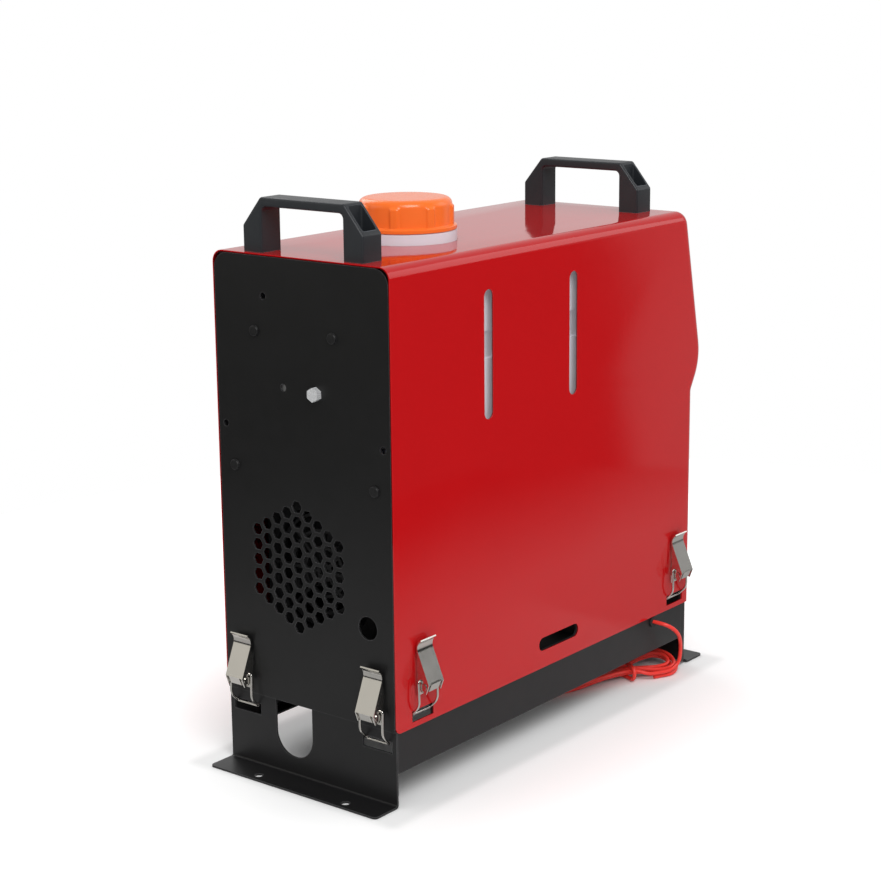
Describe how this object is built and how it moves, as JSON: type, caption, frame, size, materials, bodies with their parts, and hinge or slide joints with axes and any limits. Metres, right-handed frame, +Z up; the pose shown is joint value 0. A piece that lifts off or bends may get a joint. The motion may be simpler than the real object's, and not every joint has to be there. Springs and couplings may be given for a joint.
{
  "type": "portable diesel air heater",
  "caption": "Portable all-in-one diesel air heater: red folded hood over a black latched base, with carrying handles, an orange filler cap, a sloped controller and a round warm air outlet.",
  "frame": {"origin": "under the middle of the base, on the plane that the foot flanges stand on", "axes": "+X along the hood towards the console and warm air outlet, +Z up, -Y towards the side where the supply lead leaves"},
  "size_m": [0.433, 0.1936, 0.424],
  "materials": {
    "hood_paint": "glossy red powder coat",
    "plate_paint": "satin black powder coat",
    "frame_paint": "satin black powder coat",
    "handle_plastic": "fine moulded grain",
    "cap_plastic": "smooth moulded",
    "tank_plastic": "milky, slightly translucent",
    "latch_nickel": "bright nickel plate",
    "zinc_plate": "bright zinc plate",
    "black_steel": "black oxide",
    "core_plastic": "moulded",
    "cast_aluminium": "as cast",
    "burner_steel": "rolled stainless",
    "sheet_zinc": "galvanised sheet",
    "fan_plastic": "moulded",
    "black_rubber": "smooth",
    "gasket_fibre": "pressed fibre",
    "filter_plastic": "clear moulded",
    "controller_plastic": "satin moulded",
    "screen_glass": "dark clear window",
    "button_plastic": "satin moulded",
    "lead_sheath": "smooth extruded sheath"
  },
  "bodies": {
    "heater": {"cover_shell": "hood_paint", "end_plate": "plate_paint", "panel_screws": "black_steel", "base_end_left": "frame_paint", "base_end_right": "frame_paint", "base_rails": "frame_paint", "mounting_deck": "frame_paint", "handle_left": "handle_plastic", "handle_right": "handle_plastic", "zinc_screws": "zinc_plate", "fuel_tank": "tank_plastic", "tank_shelf": "sheet_zinc", "tank_straps": "sheet_zinc", "tank_bracket": "sheet_zinc", "core_shell_lower": "core_plastic", "core_shell_upper": "core_plastic", "inlet_grille": "core_plastic", "outlet_cone": "core_plastic", "outlet_collar": "core_plastic", "fan_motor": "black_steel", "blower_scroll": "cast_aluminium", "burner_tube": "burner_steel", "heat_exchanger": "cast_aluminium", "glow_plug": "burner_steel", "core_gasket": "gasket_fibre", "core_studs": "zinc_plate", "control_unit": "core_plastic", "fuel_filter": "filter_plastic", "fuel_pump": "zinc_plate", "pump_clamp": "black_rubber", "fuel_lines": "black_rubber", "controller_bezel": "controller_plastic", "controller_screen": "screen_glass", "lead_bushing": "black_rubber", "power_lead": "lead_sheath", "lead_hank": "lead_sheath", "hank_tie": "lead_sheath", "latch_bases": "latch_nickel"},
    "lever_end_near": {"latch_lever_end_near": "latch_nickel"},
    "bail_end_near": {"latch_bail_end_near": "latch_nickel"},
    "lever_end_far": {"latch_lever_end_far": "latch_nickel"},
    "bail_end_far": {"latch_bail_end_far": "latch_nickel"},
    "lever_near_left": {"latch_lever_near_left": "latch_nickel"},
    "bail_near_left": {"latch_bail_near_left": "latch_nickel"},
    "lever_near_right": {"latch_lever_near_right": "latch_nickel"},
    "bail_near_right": {"latch_bail_near_right": "latch_nickel"},
    "lever_far_left": {"latch_lever_far_left": "latch_nickel"},
    "bail_far_left": {"latch_bail_far_left": "latch_nickel"},
    "lever_far_right": {"latch_lever_far_right": "latch_nickel"},
    "bail_far_right": {"latch_bail_far_right": "latch_nickel"},
    "cap_rider": {"cap_seal": "black_rubber"},
    "cap": {"fuel_cap": "cap_plastic"},
    "louvre": {"outlet_louvre": "core_plastic"},
    "rotor": {"rotor_shaft": "burner_steel", "air_fan": "fan_plastic", "air_impeller": "fan_plastic"},
    "button_power": {"button_power": "button_plastic"},
    "button_set": {"button_set": "button_plastic"},
    "button_up": {"button_up": "button_plastic"},
    "button_down": {"button_down": "button_plastic"}
  },
  "joints": [
    {"name": "lever_end_near_turn", "type": "hinge", "parent": "heater", "child": "lever_end_near", "pos_m": [-0.2018, -0.063, 0.0689], "axis": [0, -1, 0], "range_deg": [0, 110]},
    {"name": "bail_end_near_turn", "type": "hinge", "parent": "lever_end_near", "child": "bail_end_near", "pos_m": [-0.1986, -0.063, 0.0729], "axis": [0, -1, 0], "range_deg": [-115, 5]},
    {"name": "lever_end_far_turn", "type": "hinge", "parent": "heater", "child": "lever_end_far", "pos_m": [-0.2018, 0.063, 0.0689], "axis": [0, -1, 0], "range_deg": [0, 110]},
    {"name": "bail_end_far_turn", "type": "hinge", "parent": "lever_end_far", "child": "bail_end_far", "pos_m": [-0.1986, 0.063, 0.0729], "axis": [0, -1, 0], "range_deg": [-115, 5]},
    {"name": "lever_near_left_turn", "type": "hinge", "parent": "heater", "child": "lever_near_left", "pos_m": [-0.1645, -0.0898, 0.087], "axis": [1, 0, 0], "range_deg": [0, 110]},
    {"name": "bail_near_left_turn", "type": "hinge", "parent": "lever_near_left", "child": "bail_near_left", "pos_m": [-0.1645, -0.0866, 0.091], "axis": [1, 0, 0], "range_deg": [-115, 5]},
    {"name": "lever_near_right_turn", "type": "hinge", "parent": "heater", "child": "lever_near_right", "pos_m": [0.168, -0.0898, 0.087], "axis": [1, 0, 0], "range_deg": [0, 110]},
    {"name": "bail_near_right_turn", "type": "hinge", "parent": "lever_near_right", "child": "bail_near_right", "pos_m": [0.168, -0.0866, 0.091], "axis": [1, 0, 0], "range_deg": [-115, 5]},
    {"name": "lever_far_left_turn", "type": "hinge", "parent": "heater", "child": "lever_far_left", "pos_m": [-0.1645, 0.0898, 0.087], "axis": [-1, 0, 0], "range_deg": [0, 110]},
    {"name": "bail_far_left_turn", "type": "hinge", "parent": "lever_far_left", "child": "bail_far_left", "pos_m": [-0.1645, 0.0866, 0.091], "axis": [-1, 0, 0], "range_deg": [-115, 5]},
    {"name": "lever_far_right_turn", "type": "hinge", "parent": "heater", "child": "lever_far_right", "pos_m": [0.168, 0.0898, 0.087], "axis": [-1, 0, 0], "range_deg": [0, 110]},
    {"name": "bail_far_right_turn", "type": "hinge", "parent": "lever_far_right", "child": "bail_far_right", "pos_m": [0.168, 0.0866, 0.091], "axis": [-1, 0, 0], "range_deg": [-115, 5]},
    {"name": "cap_lift", "type": "slide", "parent": "heater", "child": "cap_rider", "axis": [0, 0, 1], "range_m": [0, 0.008]},
    {"name": "cap_turn", "type": "hinge", "parent": "cap_rider", "child": "cap", "pos_m": [-0.077, 0, 0.409], "axis": [0, 0, 1], "range_deg": [0, 720]},
    {"name": "louvre_turn", "type": "hinge", "parent": "heater", "child": "louvre", "pos_m": [0.198, 0.0072, 0.152], "axis": [1, 0, 0], "continuous": true},
    {"name": "rotor_spin", "type": "hinge", "parent": "heater", "child": "rotor", "pos_m": [-0.11, 0.0072, 0.152], "axis": [1, 0, 0], "continuous": true},
    {"name": "button_power_press", "type": "slide", "parent": "heater", "child": "button_power", "axis": [-0.9789, 0, -0.2044], "range_m": [0, 0.0008], "stiffness_N_per_m": 400},
    {"name": "button_set_press", "type": "slide", "parent": "heater", "child": "button_set", "axis": [-0.9789, 0, -0.2044], "range_m": [0, 0.0008], "stiffness_N_per_m": 400},
    {"name": "button_up_press", "type": "slide", "parent": "heater", "child": "button_up", "axis": [-0.9789, 0, -0.2044], "range_m": [0, 0.0008], "stiffness_N_per_m": 400},
    {"name": "button_down_press", "type": "slide", "parent": "heater", "child": "button_down", "axis": [-0.9789, 0, -0.2044], "range_m": [0, 0.0008], "stiffness_N_per_m": 400}
  ],
  "couplings": [
    {"joint": "bail_end_near_turn", "follows": "lever_end_near_turn", "ratio": -1},
    {"joint": "bail_end_far_turn", "follows": "lever_end_far_turn", "ratio": -1},
    {"joint": "bail_near_left_turn", "follows": "lever_near_left_turn", "ratio": -1},
    {"joint": "bail_near_right_turn", "follows": "lever_near_right_turn", "ratio": -1},
    {"joint": "bail_far_left_turn", "follows": "lever_far_left_turn", "ratio": -1},
    {"joint": "bail_far_right_turn", "follows": "lever_far_right_turn", "ratio": -1},
    {"joint": "cap_lift", "follows": "cap_turn", "m_per_rad": 0.00063662}
  ]
}
